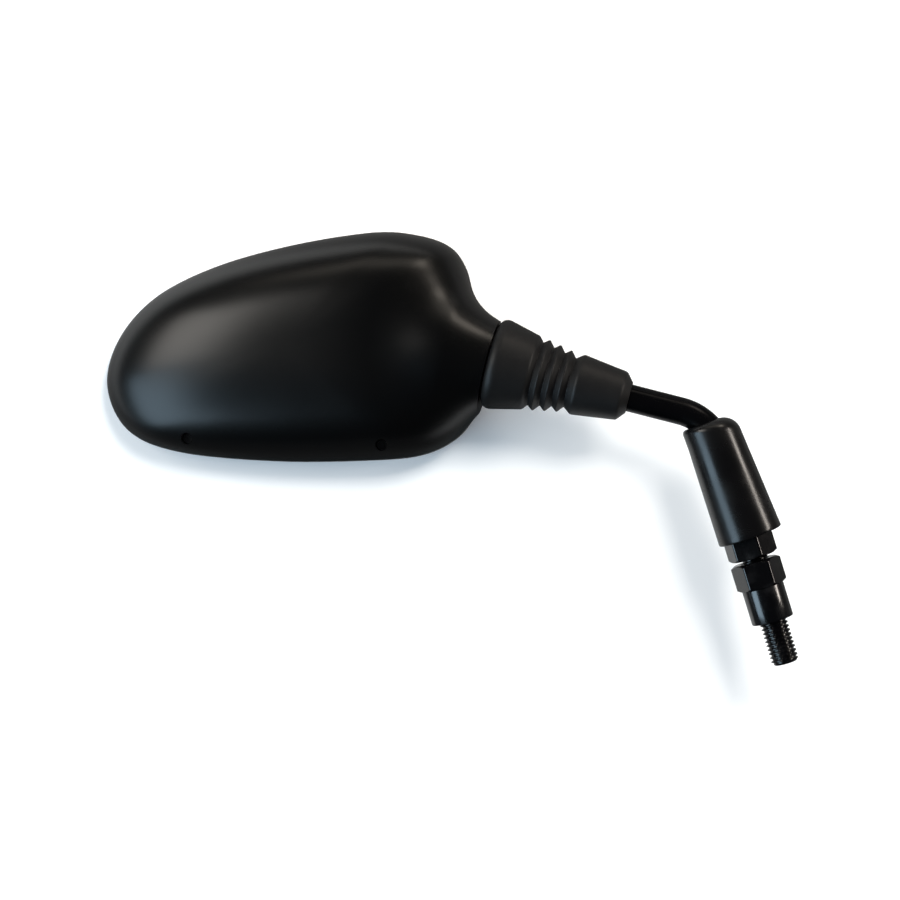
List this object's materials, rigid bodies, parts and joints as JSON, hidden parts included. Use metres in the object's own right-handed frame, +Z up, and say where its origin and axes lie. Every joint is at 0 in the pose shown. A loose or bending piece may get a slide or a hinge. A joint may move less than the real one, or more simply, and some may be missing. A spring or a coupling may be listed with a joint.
{
  "type": "motorcycle mirror",
  "caption": "Right-hand motorcycle mirror: convex glass in a moulded housing on a ball clamp, bent steel stem with rubber covers, lock nut and threaded stud adapter.",
  "frame": {"origin": "centre of the adapter's shoulder, where the stud starts and the mirror seats on its bracket", "axes": "+Z up as mounted, +X from the head toward the stud's side, +Y the way the glass faces"},
  "size_m": [0.254, 0.0443, 0.1592],
  "materials": {
    "black_steel": "gloss black coating on turned steel",
    "stem_paint": "gloss black paint on steel rod",
    "bright_steel": "zinc plated",
    "cover_rubber": "satin black rubber",
    "bellows_rubber": "matte dark grey rubber",
    "nylon": "natural nylon",
    "housing_plastic": "fine satin grain, moulded black",
    "clamp_metal": "die-cast, satin",
    "carrier_plastic": "moulded black",
    "foam": "closed-cell foam",
    "mirror_glass": "silvered convex glass"
  },
  "bodies": {
    "adapter": {"stud_adapter": "black_steel"},
    "stem": {"stem": "stem_paint", "pivot_ball": "bright_steel"},
    "nut": {"lock_nut": "black_steel"},
    "cover": {"stem_cover": "cover_rubber"},
    "saddle_liner": {"saddle_liner": "nylon"},
    "clamp_liner": {"clamp_liner": "nylon"},
    "head": {"housing": "housing_plastic", "ball_clamp": "clamp_metal", "clamp_spring_upper": "bright_steel", "clamp_spring_lower": "bright_steel", "clamp_screws": "bright_steel", "glass_carrier": "carrier_plastic", "foam_pad": "foam", "glass": "mirror_glass", "carrier_screws": "bright_steel", "neck_bellows": "bellows_rubber"}
  },
  "joints": [
    {"name": "stem_swivel", "type": "hinge", "parent": "adapter", "child": "stem", "pos_m": [0, 0, 0], "axis": [-0.2924, 0, 0.9563], "range_deg": [-180, 180]},
    {"name": "nut_turn", "type": "hinge", "parent": "stem", "child": "nut", "pos_m": [0, 0, 0], "axis": [-0.2924, 0, 0.9563], "continuous": true},
    {"name": "cover_slide", "type": "slide", "parent": "stem", "child": "cover", "axis": [0.2924, 0, -0.9563], "range_m": [0, 0.012]},
    {"name": "head_tilt", "type": "hinge", "parent": "stem", "child": "saddle_liner", "pos_m": [-0.11632, 0.01106, 0.0971], "axis": [0.9611, -0.1129, -0.2521], "range_deg": [-30, 30], "deforming": ["neck_bellows"]},
    {"name": "head_turn", "type": "hinge", "parent": "saddle_liner", "child": "clamp_liner", "pos_m": [-0.11632, 0.01106, 0.0971], "axis": [0, 0, 1], "range_deg": [-12, 12], "deforming": ["neck_bellows"]},
    {"name": "head_level", "type": "hinge", "parent": "clamp_liner", "child": "head", "pos_m": [-0.11632, 0.01106, 0.0971], "axis": [0, 1, 0], "range_deg": [-10, 10], "deforming": ["neck_bellows"]}
  ]
}
